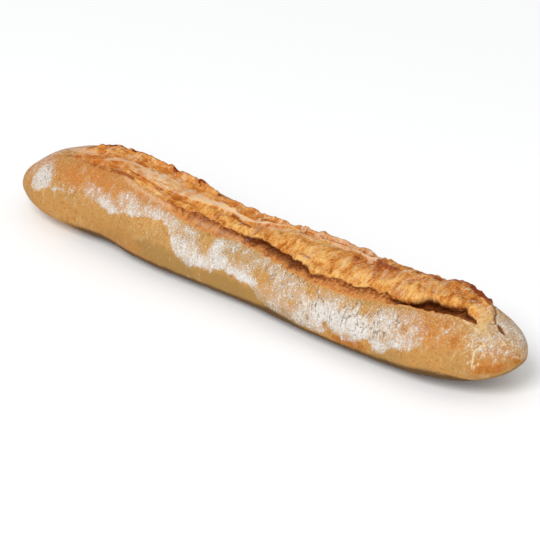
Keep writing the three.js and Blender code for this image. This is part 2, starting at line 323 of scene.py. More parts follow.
def section_corners(x):
    """Angles and heights of the section's corners at each x, the strips' share and the hollows' depth."""
    open_share = window(x, OPENING)
    lip = along(LIP_ANGLE, x) + open_share * sway(x, "lip")
    groove = along(LIP_ANGLE, x) + along(BAND_WIDTH, x) + open_share * sway(x, "groove")
    ear = along(EAR_ANGLE, x)
    unit = np.clip((ear - lip) / ROOMY, TIGHTEST, 1)
    depth = along(GROOVE_DEPTH, x) * open_share
    overhang = along(OVERHANG, x) * open_share
    bulge = along(BULGE, x) * open_share
    deep = np.clip(depth / EDGE_WIDTH["deep_from"], 0, 1)
    edge_width = mix(EDGE_WIDTH["shallow"], EDGE_WIDTH["deep"], deep)

    def dome(angle):
        return bulge * np.sin(np.pi * np.clip((angle - groove) / (ear - groove), *DOME_SPAN))

    foot = along(STRIP_FOOT, x) + unit * open_share * sway(x, "strip_foot")
    foot = np.clip(foot, groove + STRIP_CLEAR * unit, ear - (STRIP_CLEAR + 1) * unit)
    top = foot + along(STRIP_WIDTH, x) + unit * open_share * sway(x, "strip_width")
    top = np.clip(top, foot + unit, ear - STRIP_CLEAR * unit)
    shares = [window(x, strip) for strip in STRIPS]
    strip_rise = sum(strip["rise"] * share for strip, share in zip(STRIPS, shares))
    deeper = sum((strip["hollow"] - PLAIN_HOLLOW) * share for strip, share in zip(STRIPS, shares))
    hollow = (PLAIN_HOLLOW + deeper) * open_share

    crest = (EAR_RISE + bells(x, EAR_HUMPS) + sway(x, "ear_height")) * open_share
    nubs = EAR_NUBS["height"] * window(x, EAR_NUBS) * ease(EAR_NUBS["level"] + sway(x, "ear_nubs"))
    crest = crest + nubs + bells(x, EAR_TRIMS)
    ear_line = ear + unit * open_share * sway(x, "ear")
    middle = mix(groove + edge_width * unit, foot - unit, 0.5)
    behind = mix(top, ear, 0.5)
    flat = np.zeros_like(x)

    corners = [
        (flat - 180, flat),  # 0, the bottom
        (lip - 5, flat),
        (lip, along(LIP_RISE, x) * open_share),  # 2, the lip
        (lip + unit, -0.25 * depth),
        (groove + overhang, -depth),  # 4, the groove
        (groove + 0.5 * unit, -0.4 * depth),
        (groove + edge_width * unit, 0.5 * dome(groove)),  # 6, the crumb's edge
        (middle, dome(middle)),
        (foot - unit, dome(foot) - 0.5 * strip_rise),
        (foot, dome(foot) + strip_rise),  # 9, the strip
        (top, dome(top) + strip_rise),
        (top + 2 * unit, dome(top) - hollow),  # 11, the hollow behind it
        (behind, dome(behind) - 0.6 * hollow + 0.3 * crest),
        (ear_line - 3 * unit, dome(ear) - 0.8 * hollow + 0.6 * crest),
        (ear_line, crest),  # 14, the ear
        (ear_line + 3, 0.6 * crest),
        (ear_line + 12, flat),
        (flat + 180, flat),  # 17, the bottom again
    ]
    angles = np.stack([angle for angle, _ in corners], axis=1)
    heights = np.stack([height for _, height in corners], axis=1)
    heights = heights * opened_share(x[:, None], angles) / np.maximum(open_share, 0.01)[:, None]
    return angles, heights, sum(shares) * open_share, hollow


def end_lean(angle):
    """How much sooner the slash ends at the right, the farther from the top of the section."""
    return END_LEAN * np.minimum(np.abs(angle), 60)


def opened_share(x, angle):
    return window(x + np.where(x > 0, end_lean(angle), 0), OPENING)


def between(values, corner, share):
    """Smooth values between corners, with no overshoot: values has one column for each corner."""
    step = np.diff(values, axis=1)
    before, after = step[:, :-1], step[:, 1:]
    same_way = before * after > 0
    total = np.where(same_way, before + after, 1)
    inner = np.where(same_way, 2 * before * after / total, 0)
    slope = np.concatenate([step[:, :1], inner, step[:, -1:]], axis=1)
    return cubic(values[:, corner], values[:, corner + 1], slope[:, corner], slope[:, corner + 1], share)


def station_x():
    u = np.linspace(-1, 1, COLUMNS + 1)[1:-1]
    return HALF * mix(u, np.sin(np.pi * u / 2), END_CROWDING)


# ---------------- what lies on the crust

# A place round the section is a corner's number in section_corners and the share of the way to the next.
LIP_CORNER = 2
BEFORE = -1               # below every place: a band that starts here has an upper edge only
# Bands round the section: (start, fade in, end, fade out). Those with None start at places of their own.
BANDS = dict(
    crumb=(4.4, 1.2, 14, 0.8),
    slashed=(1.2, 0.8, 15, 1.2),
    opened=(3, 0.8, 14.2, 0.5),
    below_crumb=(BEFORE, 1, 5.2, 0.9),
    strip=(8.6, 0.4, 10.4, 0.4),
    strip_front=(BEFORE, 1, 9.9, 0.4),
    hollow=(10.3, 0.6, 13.6, 0.8),
    ear=(13, 0.7, 14.3, 0.4),
    cavity=(None, 0.5, 5.6, 0.5),
    burnt=(None, 1.6, 14.4, 0.5),
    ear_back=(None, 0.5, 15.6, 0.6),
)
SINK = dict(start=3, reach=0.9)
CLIMB = dict(start=4, reach=10)
RIDGE = dict(place=9.5, reach=0.45)
SPECKLED = dict(fade_in=22, end=120, fade_out=30)      # degrees
# What changes once along the loaf: (value at the left, at the right, x where it starts, over so many mm).
CHANGES = dict(
    slash_shown=(2.5, 1, -150, 30),
    band_shown=(0, 1, -104, 30),
    strip_narrowed=(0, 1, -85, 20),
    ridge_shown=(0, 1, -80, 30),
    long_fibres=(1, 0, -80, 40),
    climb=(0.5, 1, -60, 80),
    cavity_from=(3.25, 2.9, 120, 20),
    burnt_from=(12.4, 11.4, 140, 15),
    ear_back_from=(12.6, 13.5, 80, 20),
    ear_back_dust=(0, 0.5, -5, 15),
    speckled_from=(-86, -74, 120, 40),
    swept=(0.75, 0.25, -30, 60),
    under_from=(97, 109, 185, 20),
    under_at_left=(0, 1, -190, 50),
    under_at_right=(1, 0.5, 190, 20),
)

# Soft spots on the crust: (x, angle, reach along, reach round, strength).
SPOT_POWER = 1.4          # the higher, the flatter a spot is in its middle
SPOT_DROP = 0.7
FLOUR_DUSTINGS = [
    (-192, -56, 9, 24, 1.1), (-173, -71, 9, 6, 0.7), (-160, -62, 7, 7, 0.3), (-140, -57, 10, 10, 0.5),
    (-124, -64, 12, 12, 0.95), (-104, -54, 14, 18, 0.75), (-84, -46, 14, 12, 0.72), (-66, -50, 16, 18, 0.7),
    (-52, -62, 16, 26, 0.85), (-38, -76, 18, 12, 0.95), (-23, -52, 8, 20, 0.9), (-16, -66, 7, 14, 1.1),
    (3, -73, 16, 9, 1.15), (24, -84, 14, 6, 0.45), (34, -56, 24, 26, 0.55), (48, -80, 22, 9, 0.45),
    (60, -74, 20, 20, 0.65), (84, -76, 18, 22, 1.1), (106, -76, 18, 21, 1.2), (130, -64, 16, 26, 0.75),
    (150, -27, 26, 5, 0.45), (147, -42, 14, 16, 0.42), (157, -56, 9, 14, 0.45), (150, -74, 13, 12, 0.68),
    (100, -48, 34, 7, 0.45), (64, -92, 15, 8, 0.8), (84, -88, 10, 6, 0.5), (128, -88, 18, 9, 0.85),
    (144, -80, 12, 8, 0.7), (5, -66, 11, 16, 0.7), (8, -84, 12, 7, 0.6), (-10, -80, 10, 7, 0.7),
]
# Where the crust shows through the flour.
BARE = [
    (-34, -46, 7, 11, 0.9), (-8, -52, 9, 7, 0.4), (20, -62, 9, 9, 0.75), (112, -44, 3, 14, 0.8),
    (84, -87, 3, 5, 0.8), (66, -52, 5, 8, 0.5), (-118, -57, 7, 6, 0.4), (-110, -50, 7, 5, 0.4),
    (-56, -53, 10, 6, 0.4), (54, -76, 8, 7, 0.4), (204, -43, 5, 7, 0.3), (106, -90, 8, 6, 0.35),
    (76, -42, 14, 6, 0.4),
]
# Lower edge of the flour, where the front turns under.
FLOUR_EDGE = [
    (-200, -80), (-178, -76), (-150, -68), (-140, -67), (-115, -72), (-88, -54), (-70, -55), (-55, -86),
    (-16, -80), (16, -88), (34, -98), (60, -105), (80, -99), (93, -94), (104, -90), (114, -89), (128, -97),
    (146, -89), (166, -74),
]
FLOUR_EDGE_FADE = 3.0
FLOUR_VEIL = dict(start=-120, end=145, fade_in=50, fade_out=50, top=-20, top_fade=10, strength=0.42)
# The hidden side, floured in the same way.
FLOUR_BACK = dict(angle=66, reach=36, strength=0.8, level=0.6, past_ear=8, fade=14)
FLOUR_TIPS = [
    (212, 20, 18, 56, 0.52), (206, -40, 14, 28, 0.45), (184, -42, 14, 20, 0.2), (221, -42, 7, 14, 0.42),
    (-207, -34, 7, 18, 0.42), (-208, 24, 16, 60, 0.6), (-190, 14, 16, 20, 0.45), (-202, -22, 9, 20, 0.5),
]
# Flour brushed off the skin beside the slashes.
SWEPT = dict(reach=9, up_to=13)
# Where the darkening towards the floor, partly hearth browning and partly painted shade, starts sooner: (x,
# reach, degrees).
UNDER_SOONER = [(170, 18, 6), (34, 22, 7)]
UNDER_REACH = 13
TANNED = [
    (213, -92, 9, 8, 1), (176, -50, 22, 20, 0.42), (224.5, -60, 1.5, 34, 0.9), (104, -98, 16, 8, 0.9),
]
# Olive brown on the lower front, partly its own colour and partly painted shade: (x, angle, reach along,
# reach round, strength).
SHADY = [
    (-110, -94, 30, 10, 0.5), (-62, -92, 36, 14, 0.9), (-8, -94, 36, 12, 1), (44, -98, 30, 9, 1),
    (134, -104, 24, 8, 0.6),
]
# Thin marks on the crust: path of (x, angle) places, half width in mm, strength.
RUSTY = [
    ([(-183, -12), (-168, -19), (-152, -23), (-143, -22), (-134, -20)], 3.6, 0.55),
    ([(-136, -22), (-126, -19), (-118, -18)], 2.2, 1),
    ([(-128, -11), (-116, -10)], 1.2, 0.6),
    ([(-113, 3), (-110, 3)], 0.9, 1),
    ([(-89, 4), (-86, 4)], 0.8, 0.8),
    ([(-32, -1), (-21, -3), (-12, -7)], 1.6, 0.9),
    ([(37, -14), (48, -16)], 1.3, 0.8),
    ([(66, 12), (76, 9)], 1.2, 0.8),
    ([(94, 12), (102, 9), (110, 10)], 3, 1.3),
    ([(92, 5), (112, 5)], 7, 0.45),
    ([(138, 31), (150, 30), (158, 28)], 1.8, 0.6),
    ([(150, 36), (160, 36), (170, 33), (178, 28), (187, 20)], 2.4, 0.85),
]
DUSTED = [
    ([(-184, 4), (-174, -2), (-165, -4)], 5, 0.8),
    ([(-148, -10), (-144, -3), (-134, 1), (-128, 2)], 2.6, 0.8),
    ([(-119, 1), (-113, 0), (-109, -4)], 3, 0.8),
    ([(-125, 6), (-113, 8), (-79, 8), (-61, 9), (-44, 9), (-29, 5)], 1.1, 0.9),
    ([(-106, -21), (-98, -17), (-82, -16)], 1.5, 0.6),
    ([(-124, -22), (-114, -25), (-105, -26), (-90, -26), (-76, -27)], 3.6, 0.62),
    ([(134, 34), (146, 36), (157, 35)], 1.6, 0.7),
    ([(166, -18), (176, -15), (184, -12)], 2.2, 0.3),
    ([(0, 6), (13, 14), (26, 15), (37, 12)], 3.6, 0.75),
    ([(-52, -30), (-30, -29), (-12, -27)], 5, 0.45),
    ([(30, 26), (47, 23), (58, 19.5), (71, 16), (82, 15.5)], 1.1, 1.2),
    ([(206, 6), (212, -1)], 1, 0.9),
    ([(199, -112), (206, -128), (213, -140)], 1.5, 0.9),
]
FOLDS = [
    ([(92, -62), (95, -67), (101, -69), (104, -63)], 0.5, 0.8),
    ([(120, -68), (127, -73), (134, -74)], 0.6, 0.9),
]
# Where the torn crumb is paler, partly its own colour and partly a painted highlight on its lower bulge, and
# where it is deeper: (x, angle, reach along, reach round, strength).
PALE_AND_HIGHLIT_CRUMB = [(44, -4, 22, 12, 0.6), (26, 13, 20, 10, 1), (120, -8, 34, 14, 0.6), (-70, 20, 40, 12, 0.3)]
DEEP_CRUMB = [(-78, -14, 34, 12, 1)]
# Where the torn crumb is pale, and where it is scorched.
CREAM_PLACES = [(195, -2, 7, 20, 0.9), (196, -20, 6, 9, 0.8), (200, -26, 5, 10, 0.5)]
SCORCHED = [(-154, -12, 26, 16, 1), (-118, -8, 20, 7, 0.7), (102, 3, 21, 11, 0.95), (-5, 11, 10, 8, 0.9)]
CRACKLES = [(201, -50, 8, 30, 1), (186, -40, 12, 12, 0.6)]
WRINKLES = [
    (44, -50, 20, 20, 1), (78, -70, 20, 26, 1), (112, -64, 22, 24, 1), (130, -60, 18, 20, 1),
    (10, -44, 20, 14, 0.8), (-34, -50, 20, 22, 0.8), (-192, -50, 12, 20, 0.7),
]
WARM_PLACES = [
    (-150, 34, 44, 24, 1), (-150, -40, 44, 22, 0.75), (-206, 6, 20, 50, 0.8), (212, -88, 10, 14, 0.9),
    (214, -50, 12, 30, 0.35), (168, -48, 30, 20, 0.55), (-100, -30, 26, 10, 0.6), (-100, -100, 30, 16, 0.4),
]
ROUGH_TIPS = [(210, -10, 20, 64, 1), (-208, 4, 20, 64, 1), (-178, -6, 12, 14, 0.8)]
CAVITY_SHADE = [
    (-186, 0), (-40, 0), (-26, 0.15), (-12, 0.5), (-2, 1), (12, 1), (30, 0.95), (44, 0.95), (55, 0.8),
    (66, 0.45), (84, 0.2), (100, 0.45), (122, 0.5), (136, 0.9), (174, 0.9), (188, 0.7), (197, 0.1), (202, 0),
]
# Burnt lengths of the ear: (x, reach, strength).
BURNT_EAR = [
    (-174, 8, 1), (-159, 7, 1), (-143, 6, 0.9), (-130, 5, 0.8), (-104, 7, 0.8), (-78, 8, 0.8),
    (-60, 6, 0.7), (30, 8, 0.4), (104, 9, 0.9), (148, 5, 0.7), (163, 6, 0.75), (177, 9, 1), (186, 6, 0.8),
]


def row_places():
    """The corner below each row of points, and the row's share of the way to the next corner."""
    corner = np.concatenate([np.full(count, k) for k, count in enumerate(ROWS)])
    shares = [np.arange(count) / count for count in ROWS]
    shares[0] = 1 - (1 - shares[0]) ** ROW_CROWDING
    shares[-1] = shares[-1] ** ROW_CROWDING
    return corner, np.concatenate(shares)


class CrustPoints:
    """All points of the crust, one row of the arrays for each section, and what is open there."""

    def __init__(self):
        stations = station_x()
        angles, heights, strips, hollows = section_corners(stations)
        corner, share = row_places()
        self.angle = between(angles, corner, share)
        self.height = between(heights, corner, share)
        self.x = stations[:, None] + 0 * self.angle
        self.place = (corner + share)[None, :] + 0 * self.angle
        self.below_lip = self.angle - angles[:, LIP_CORNER:LIP_CORNER + 1]
        self.strips = strips[:, None]
        self.hollows = hollows[:, None]
        self.opened = opened_share(self.x, self.angle)
        self.crumb = self.band("crumb") * self.opened
        self.skin = 1 - self.band("slashed") * self.opened
        self.strip = self.band("strip") * self.strips

    def band(self, name, start=None):
        """1 in a band round the section, easing to 0 at its edges."""
        usual, fade_in, end, fade_out = BANDS[name]
        start = usual if start is None else start
        return window(self.place, dict(start=start, fade_in=fade_in, end=end, fade_out=fade_out))

    def distance(self, path, shift=0):
        """Distance in mm over the crust to a path of (x, angle) places."""
        nearest = np.full(self.x.shape, np.inf)
        for (x0, a0), (x1, a1) in zip(path[:-1], path[1:]):
            run, turn = x1 - x0, (a1 - a0) * MM_PER_DEGREE
            dx, dy = self.x + shift - x0, (self.angle - a0) * MM_PER_DEGREE
            share = np.clip((dx * run + dy * turn) / (run * run + turn * turn), 0, 1)
            nearest = np.minimum(nearest, np.hypot(dx - share * run, dy - share * turn))
        return nearest

    def marks(self, table):
        """Strength of the strongest of the thin marks."""
        shares = [strength * bell(self.distance(path) / width) for path, width, strength in table]
        return np.maximum.reduce(shares)

    def spots(self, table):
        """Strength of the strongest of the soft spots: (x, angle, reach along, reach round, strength)."""
        total = np.zeros_like(self.x)
        for centre, turn, reach_x, reach_angle, strength in table:
            spread = ((self.x - centre) / reach_x) ** 2 + ((self.angle - turn) / reach_angle) ** 2
            total = np.maximum(total, strength * np.exp(-SPOT_DROP * spread ** SPOT_POWER))
        return total


def torn_relief(x, angle):
    """Height of the torn crumb, with lumps, leaning fibres and grain, and its colour value with painted
    light: lighter on the lumps, darker in the creases.
    """
    run = x + CRUMB_SLANT * angle
    turn = angle * MM_PER_DEGREE
    size = TORN_WARP["size"]
    run = run + TORN_WARP["push"] * layered(run / size, turn / size, TORN_WARP["shift_along"])
    turn = turn + TORN_WARP["push"] * layered(run / size, turn / size, TORN_WARP["shift_round"])

    def noise_of(setting, run):
        return layered(run / setting["along"], turn / setting["around"], setting["shift"])

    lumps = noise_of(TORN_LUMPS, run)
    fibres = mix(noise_of(TORN_FIBRES, run), noise_of(LONG_FIBRES, x), changing(x, "long_fibres"))
    creased = 1 - 2 * np.abs(fibres)
    grain = noise(run / TORN_GRAIN["along"] + TORN_GRAIN["shift"], turn / TORN_GRAIN["around"])
    out = TORN_LUMPS["height"] * lumps + TORN_FIBRES["height"] * creased + TORN_GRAIN["height"] * grain
    light = TORN_TINT_AND_SHADING["lumps"] * lumps + TORN_TINT_AND_SHADING["fibres"] * creased + TORN_TINT_AND_SHADING["grain"] * grain
    return out, np.clip(TORN_TINT_AND_SHADING["level"] + light, 0, 1)


def slit_and_rim(x, angle):
    wander = SLIT["wander"] * noise(angle / SLIT["around"], SLIT["row"])
    past = x + end_lean(angle) - OPENING["end"] + wander
    there = window(angle, SLIT_SPAN)
    return [bell((past - line["past"]) / line["reach"]) * there for line in (SLIT, RIM)]


def seams_and_cracks(at):
    """The raised pale edges of the fine cracks, and the cracks beside them."""
    wander = SEAMS["wander"] * noise(at.x / SEAMS["along"], at.angle / SEAMS["around"])
    lines = []
    for side in (0, SEAMS["width"] + SEAMS["crack"]):
        away = np.minimum.reduce([at.distance(path, side + wander) for path in SEAMS["paths"]])
        lines.append(bell(away / SEAMS["width"]))
    return lines


def crust_relief(at):
    """Height of the crust over the plain loaf, and the shares of the details that are coloured as well."""
    x, angle = at.x, at.angle
    torn, light = torn_relief(x, angle)
    slit, rim = slit_and_rim(x, angle)
    seam, crack = seams_and_cracks(at)

    out = at.height + patch_noise(x, angle, SKIN_DENTS) * np.cos(np.radians(angle / 2))
    lump_start = along(LIP_ANGLE, x) + LUMP_SPAN["above_lip"]
    lump_end = along(EAR_ANGLE, x) + LUMP_SPAN["past_ear"]
    lump_share = window(angle, dict(LUMP_SPAN, start=lump_start, end=lump_end)) * window(x, OPENING)
    out = out + patch_noise(x + CRUMB_LUMPS["slant"] * angle, angle, CRUMB_LUMPS) * lump_share
    out = out + (at.crumb - STRIP_CALM * at.strip) * torn
    ripples = patch_noise(x, angle, SKIN_RIPPLES) + patch_noise(x, angle, SKIN_GRAIN)
    out = out + at.skin * ripples * ease((RIPPLES_END["angle"] - np.abs(angle)) / RIPPLES_END["fade"])

    pit, crease = np.zeros_like(x), np.zeros_like(x)
    for path, width, depth in PITS:
        share = np.exp(-((at.distance(path) / width) ** 3))
        out = out - depth * share
        pit = np.maximum(pit, share)
    for path, width, depth in CREASES:
        share = bell(at.distance(path) / width) * at.crumb
        out = out - depth * share
        crease = np.maximum(crease, share)
    out = out - SLIT["depth"] * slit + RIM["height"] * rim + SEAMS["height"] * (seam - crack)
    out = out - TIP_PINCH["depth"] * ease((TIP_PINCH["start"] - x) / TIP_PINCH["reach"])
    out = out - at.spots(BELLY_TRIMS)

    pit = np.maximum(pit, np.maximum(SLIT["shade"] * slit, SEAMS["shade"] * crack))
    return out, rim, dict(torn=light, pit=pit, crease=crease, seam=seam)


def flour_density(at):
    """How thick the flour lies: on the front down to its lower edge, on the back and on the tips."""
    x, angle = at.x, at.angle
    veil = FLOUR_VEIL["strength"] * window(x, FLOUR_VEIL)
    veil = veil * ease((FLOUR_VEIL["top"] - angle) / FLOUR_VEIL["top_fade"])
    edge = along(FLOUR_EDGE, x) + sway(x, "flour_edge")
    front = np.maximum(at.spots(FLOUR_DUSTINGS), veil) * ease((angle - edge) / FLOUR_EDGE_FADE)
    back = FLOUR_BACK["strength"] * bell((angle - FLOUR_BACK["angle"]) / FLOUR_BACK["reach"])
    back = back * (FLOUR_BACK["level"] + sway(x, "flour_back"))
    back = back * ease((angle - along(EAR_ANGLE, x) - FLOUR_BACK["past_ear"]) / FLOUR_BACK["fade"])
    dusty = np.maximum(np.maximum(front, back), at.spots(FLOUR_TIPS))
    swept = changing(x, "swept") * ease(at.below_lip / SWEPT["reach"] + 1)
    swept = swept * (at.place < SWEPT["up_to"]) * at.opened
    return dusty * (1 - at.spots(BARE)) * at.skin * (1 - swept)


def crust_masks(at, rim):
    """What else the material needs to know at each point."""
    x, angle, place, opened = at.x, at.angle, at.place, at.opened
    band, spots = at.band, at.spots
    shown = np.clip(opened * changing(x, "slash_shown"), 0, 1)
    blush = along(LIP_BLUSH, x)
    near_lip = ease((at.below_lip + blush) / blush)
    dark_from = changing(x, "cavity_from") + sway(x, "cavity")
    ear_back = band("ear_back", start=changing(x, "ear_back_from")) * changing(x, "ear_back_dust")
    # The crust darkens towards the floor: partly hearth browning, partly painted shade.
    under_from = changing(x, "under_from") - bells(x, UNDER_SOONER)
    under = ease((np.abs(angle) - under_from) / UNDER_REACH)
    deepest = max(strip["hollow"] for strip in STRIPS)
    burnt = np.clip(bells(x, BURNT_EAR), 0, 1)
    return dict(
        opened=band("opened") * shown,
        climb=np.clip((place - CLIMB["start"]) / CLIMB["reach"], 0, 1) * changing(x, "climb"),
        band=near_lip * band("below_crumb") * opened * changing(x, "band_shown"),
        sink=np.clip((place - SINK["start"]) / SINK["reach"], 0, 1),
        cavity=band("cavity", start=dark_from) * along(CAVITY_SHADE, x) * opened,
        strip=at.strip * mix(1, band("strip_front"), changing(x, "strip_narrowed")),
        hollow=band("hollow") * np.clip(at.hollows / deepest, 0, 1),
        ear=band("ear") * shown,
        burnt=band("burnt", start=changing(x, "burnt_from")) * shown * burnt,
        flour=np.maximum(flour_density(at), RIM["floured"] * rim),
        speckled=window(angle, dict(SPECKLED, start=changing(x, "speckled_from"))),
        wrinkled=spots(WRINKLES),
        crackled=spots(CRACKLES),
        tanned=spots(TANNED),
        under=under * changing(x, "under_at_left") * changing(x, "under_at_right"),
        shady=spots(SHADY),
        rusty=at.marks(RUSTY),
        dusted=np.maximum(at.marks(DUSTED), ear_back * opened),
        folded=at.marks(FOLDS),
        tone_and_highlight=0.5 + 0.5 * spots(PALE_AND_HIGHLIT_CRUMB) - 0.5 * spots(DEEP_CRUMB),
        cream=spots(CREAM_PLACES),
        scorched=spots(SCORCHED),
        lengthwise=changing(x, "long_fibres"),
        warm=spots(WARM_PLACES),
        ridge=bell((place - RIDGE["place"]) / RIDGE["reach"]) * at.strips * changing(x, "ridge_shown"),
        rough=spots(ROUGH_TIPS),
    )


def loaf_mesh():
    at = CrustPoints()
    out, rim, coloured = crust_relief(at)
    y, z = crust_point(at.x, at.angle, out * np.sqrt(round_off(at.x)))
    crust = np.stack([at.x, y, np.maximum(z - BOTTOM_TRIM, 0)], axis=-1)
    sections, ring = crust.shape[:2]
    ends = []
    for x in (-HALF, HALF):
        y, z = loaf_point(np.array([x]), np.array([0]))
        ends.append((x, y[0], z[0] - BOTTOM_TRIM))
    vertices = np.concatenate([crust.reshape(-1, 3), np.array(ends)])
    first_tip, last_tip = len(vertices) - 2, len(vertices) - 1

    index = np.arange(sections * ring).reshape(sections, ring)
    nearer, farther = index[:-1], index[1:]
    quads = np.stack([nearer, farther, np.roll(farther, -1, axis=1), np.roll(nearer, -1, axis=1)], axis=-1)
    faces = quads.reshape(-1, 4).tolist()
    faces += [(first_tip, index[0, k], index[0, (k + 1) % ring]) for k in range(ring)]
    faces += [(last_tip, index[-1, (k + 1) % ring], index[-1, k]) for k in range(ring)]

    low, high = vertices.min(axis=0), vertices.max(axis=0)
    vertices -= [(low[0] + high[0]) / 2, (low[1] + high[1]) / 2, low[2]]
    mesh = bpy.data.meshes.new("crust")
    mesh.from_pydata((vertices * MM).tolist(), [], [tuple(int(i) for i in face) for face in faces])
    mesh.polygons.foreach_set("use_smooth", [True] * len(mesh.polygons))
    for name, values in dict(crust_masks(at, rim), **coloured).items():
        layer = mesh.attributes.new(name, "FLOAT", "POINT")
        flat = np.append(values.reshape(-1), [values[0].mean(), values[-1].mean()])
        layer.data.foreach_set("value", flat.astype(np.float32))
    mesh.update()
    return mesh


# ---------------- material

LIGHT_GAIN = 1.18    # how much brighter than its own colour a surface looks under the studio light


def seen(red, green, blue):
    """The surface colour, as Blender's linear value, that looks like this 0 to 255 colour in the studio."""
    def linear(channel):
        share = channel / 255
        return share / 12.92 if share <= 0.04045 else ((share + 0.055) / 1.055) ** 2.4
    return tuple(linear(channel) / LIGHT_GAIN for channel in (red, green, blue)) + (1,)


EVEN = (1, 1, 1)
AROUND = (1, 0.3, 0.45)
# Noises: scale, detail, roughness, distortion, and squeeze, which runs the marks round or along the loaf.
NOISES = dict(
    broad=(26, 3, 0.55, 0, EVEN),
    crusts=(75, 3, 0.6, 0.8, EVEN),
    breaks=(120, 2, 0.55, 0, EVEN),
    patches=(140, 3, 0.6, 0, EVEN),
    pebbles=(310, 2, 0.6, 0.8, EVEN),
    spots=(430, 2, 0.55, 0, EVEN),
    grain=(850, 2, 0.5, 0, EVEN),
    flakes=(190, 3, 0.65, 0.6, AROUND),
    round_streaks=(480, 3, 0.65, 0.6, AROUND),
    long_streaks=(360, 3, 0.6, 0.4, (0.3, 1, 1)),
    net=(230, 1, 0.5, 1.4, (1, 0.6, 0.55)),
    veins=(290, 2, 0.5, 1.6, (1, 0.55, 0.6)),
    folds=(95, 2, 0.5, 2.2, (1, 0.5, 0.42)),
)


class Graph:
    """A short way of writing node trees. A name stands for a noise, or else for a mask on the mesh."""

    def __init__(self, material):
        material.use_nodes = True
        self.tree = material.node_tree
        self.tree.nodes.clear()
        self.named = {}

    def node(self, kind, inputs=(), **settings):
        made = self.tree.nodes.new(kind)
        for name, value in settings.items():
            setattr(made, name, value)
        for name, value in dict(inputs).items():
            self.feed(made.inputs[name], value)
        return made

    def feed(self, socket, value):
        if isinstance(value, str):
            value = self.find(value)
        if isinstance(value, bpy.types.NodeSocket):
            self.tree.links.new(value, socket)
        else:
            socket.default_value = value

    def find(self, name):
        if name not in self.named:
            made = self.noise(*NOISES[name]) if name in NOISES else self.mask(name)
            self.named[name] = made.outputs["Fac"]
        return self.named[name]

    def mask(self, name):
        return self.node("ShaderNodeAttribute", attribute_name=name)

    def noise(self, scale, detail, roughness, distortion, squeeze):
        place = self.node("ShaderNodeTexCoord").outputs["Object"]
        place = self.node("ShaderNodeMapping", dict(Vector=place, Scale=squeeze)).outputs["Vector"]
        settings = dict(Vector=place, Scale=scale, Detail=detail, Roughness=roughness, Distortion=distortion)
        return self.node("ShaderNodeTexNoise", settings)

    def math(self, operation, *values, clamp=False):
        made = self.node("ShaderNodeMath", operation=operation, use_clamp=clamp)
        for socket, value in zip(made.inputs, values):
            self.feed(socket, value)
        return made.outputs[0]

    def plus(self, total, *others):
        for other in others:
            total = self.math("ADD", total, other)
        return total

    def minus(self, a, b):
        return self.math("SUBTRACT", a, b)

    def times(self, a, b):
        return self.math("MULTIPLY", a, b)

    def most(self, a, b):
        return self.math("MAXIMUM", a, b)

    def swing(self, noise, weight):
        """A noise of 0 to 1 turned into one that swings about 0."""
        return self.times(self.minus(noise, 0.5), weight)

    def stretch(self, value, levels, to=(0, 1), smooth=True):
        """The value with two of its levels moved to two others, and held between them."""
        ends = dict(zip(("From Min", "From Max", "To Min", "To Max"), levels + to), Value=value)
        kind = "SMOOTHSTEP" if smooth else "LINEAR"
        return self.node("ShaderNodeMapRange", ends, interpolation_type=kind).outputs["Result"]

    def lines(self, noise, levels):
        """Thin lines where a noise crosses its middle."""
        return self.stretch(self.math("ABSOLUTE", self.minus(noise, 0.5)), levels, to=(1, 0))

    def patch(self, mask, swing, levels, inside=None):
        """Where a mask is strong, its edge broken up by a swing and, if asked, held to where the mask is."""
        share = self.stretch(self.plus(mask, swing), levels)
        return self.times(share, self.stretch(mask, inside)) if inside else share

    def blend(self, share, a, b):
        made = self.node("ShaderNodeMix", dict(Factor=share, A=a, B=b), data_type="RGBA")
        return made.outputs["Result"]

    def paint(self, colour, over, share, strength=1):
        """A colour with another one laid over it."""
        return self.blend(self.times(share, strength), colour, over)

    def ramp(self, value, *stops):
        made = self.node("ShaderNodeValToRGB", dict(Fac=value))
        elements = made.color_ramp.elements
        while len(elements) < len(stops):
            elements.new(0.5)
        for element, (position, colour) in zip(elements, stops):
            element.position = position
            element.color = colour
        return made.outputs["Color"]

    def finish(self, **inputs):
        """The surface, with the inputs named as Blender names them, with _ for a space."""
        named = {name.replace("_", " "): value for name, value in inputs.items()}
        shader = self.node("ShaderNodeBsdfPrincipled", named)
        self.node("ShaderNodeOutputMaterial", dict(Surface=shader.outputs["BSDF"]))


GOLDEN_TAN = seen(200, 146, 80)
OLIVE_TAN = seen(184, 141, 82)
WARM_ORANGE = seen(206, 120, 48)
TAN_BROWN = seen(180, 108, 36)
HEARTH_BROWN_AND_SHADE = seen(92, 66, 36)
OVEN_BROWN = seen(164, 98, 42)
OLIVE_BROWN = seen(166, 128, 70)
RUST_BROWN = seen(148, 66, 24)
DUSTY_PINK = seen(238, 192, 150)
CREAM = seen(238, 204, 150)
CRUMB_GOLD = seen(216, 140, 62)
CRUMB_LIGHT = seen(246, 192, 114)
CRUMB_ORANGE = seen(188, 104, 36)
HOLLOW_ORANGE = seen(226, 146, 66)
CRUMB_BROWN = seen(130, 66, 26)
PALE_FLECK = seen(246, 214, 172)
CRUMB_CREAM = seen(226, 186, 126)
SCORCH_ORANGE = seen(196, 98, 34)
STRIP_PALE = seen(242, 200, 144)
RIDGE_CREAM = seen(252, 208, 160)
STRIP_TAN = seen(220, 152, 90)
BAND_ORANGE = seen(220, 146, 80)
BAND_DEEP = seen(140, 66, 26)
CAVITY_BROWN = seen(104, 48, 16)
EAR_ORANGE = seen(222, 148, 84)
EAR_BURNT = seen(132, 58, 22)
FLOUR_WHITE = seen(232, 230, 225)
CRACK_GREY = seen(116, 94, 60)
CRACKLE_CREAM = seen(248, 228, 186)
PIT_BROWN = seen(132, 84, 32)

BUMP = dict(Strength=0.7, Distance=0.8 * MM)


